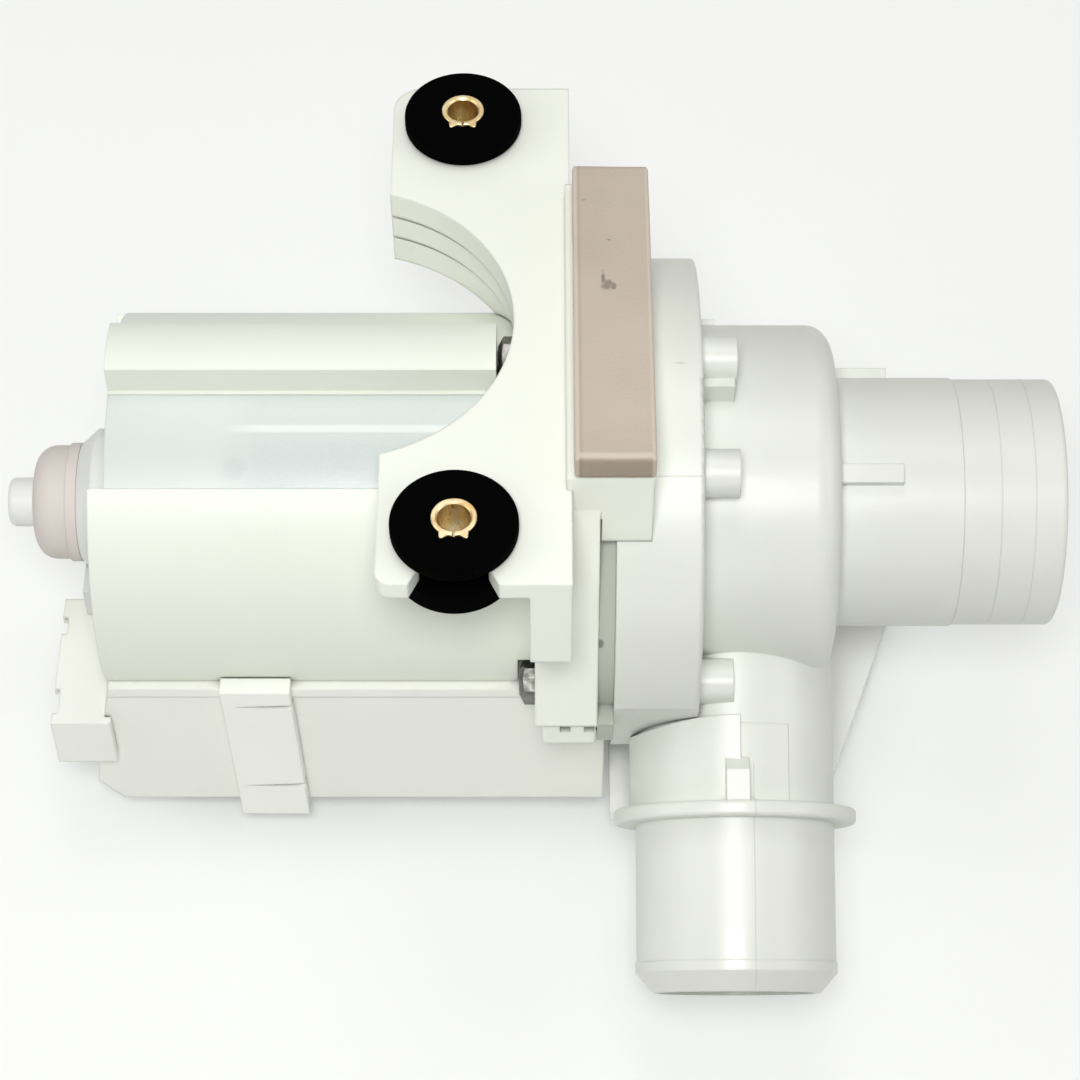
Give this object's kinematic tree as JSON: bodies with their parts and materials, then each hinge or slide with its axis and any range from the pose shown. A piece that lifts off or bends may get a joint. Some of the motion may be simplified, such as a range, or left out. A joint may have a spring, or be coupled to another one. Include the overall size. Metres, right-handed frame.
{
  "type": "washer drain pump",
  "caption": "Washing machine drain pump: motor-driven impeller in a moulded volute with straight inlet and angled outlet spigots, on a bracket with rubber mounts.",
  "frame": {"origin": "on the shaft axis, where the inlet spigot leaves the drum of the volute", "axes": "+X along the shaft out of the inlet, +Z along the grommets' axes, -Y on the outlet's side"},
  "size_m": [0.2114, 0.1628, 0.1246],
  "materials": {
    "grey_plastic": "satin moulded",
    "dark_grey_plastic": "satin moulded",
    "white_plastic": "satin moulded",
    "translucent_plastic": "frosted",
    "bell_plastic": "frosted",
    "impeller_plastic": "moulded",
    "capacitor_shell": "matte",
    "black_rubber": "matte",
    "pink_rubber": "matte",
    "foam": "open-cell",
    "brass": "rolled",
    "screw_steel": "plated",
    "lamination_steel": "stamped",
    "winding_copper": "enamelled",
    "cast_aluminium": "cast"
  },
  "bodies": {
    "pump": {"volute_housing": "grey_plastic", "chamber_back_plate": "dark_grey_plastic", "chamber_seal_ring": "black_rubber", "shaft_seal": "black_rubber", "mounting_bracket": "white_plastic", "foam_pad": "foam", "near_grommet": "black_rubber", "far_grommet": "black_rubber", "near_sleeve": "brass", "far_sleeve": "brass", "flange_screws": "screw_steel", "motor_housing": "white_plastic", "window_cover": "translucent_plastic", "top_rail": "white_plastic", "rear_end_bell": "bell_plastic", "rear_bearing_cap": "pink_rubber", "rear_plug": "white_plastic", "capacitor_box": "white_plastic", "run_capacitor": "capacitor_shell", "box_clip": "white_plastic", "connector_housing": "white_plastic", "connector_terminals": "brass", "support_plate": "white_plastic", "support_screws": "screw_steel", "stator_core": "lamination_steel", "coil_bobbins": "dark_grey_plastic", "stator_windings": "winding_copper", "rear_bearing": "brass", "front_bearing": "brass"},
    "rotor": {"rotor_shaft": "screw_steel", "rotor_core": "lamination_steel", "rotor_end_rings": "cast_aluminium", "thrust_washers": "dark_grey_plastic", "impeller": "impeller_plastic"}
  },
  "joints": [
    {"name": "rotor_spin", "type": "hinge", "parent": "pump", "child": "rotor", "pos_m": [-0.1, 0, 0], "axis": [1, 0, 0], "continuous": true}
  ]
}
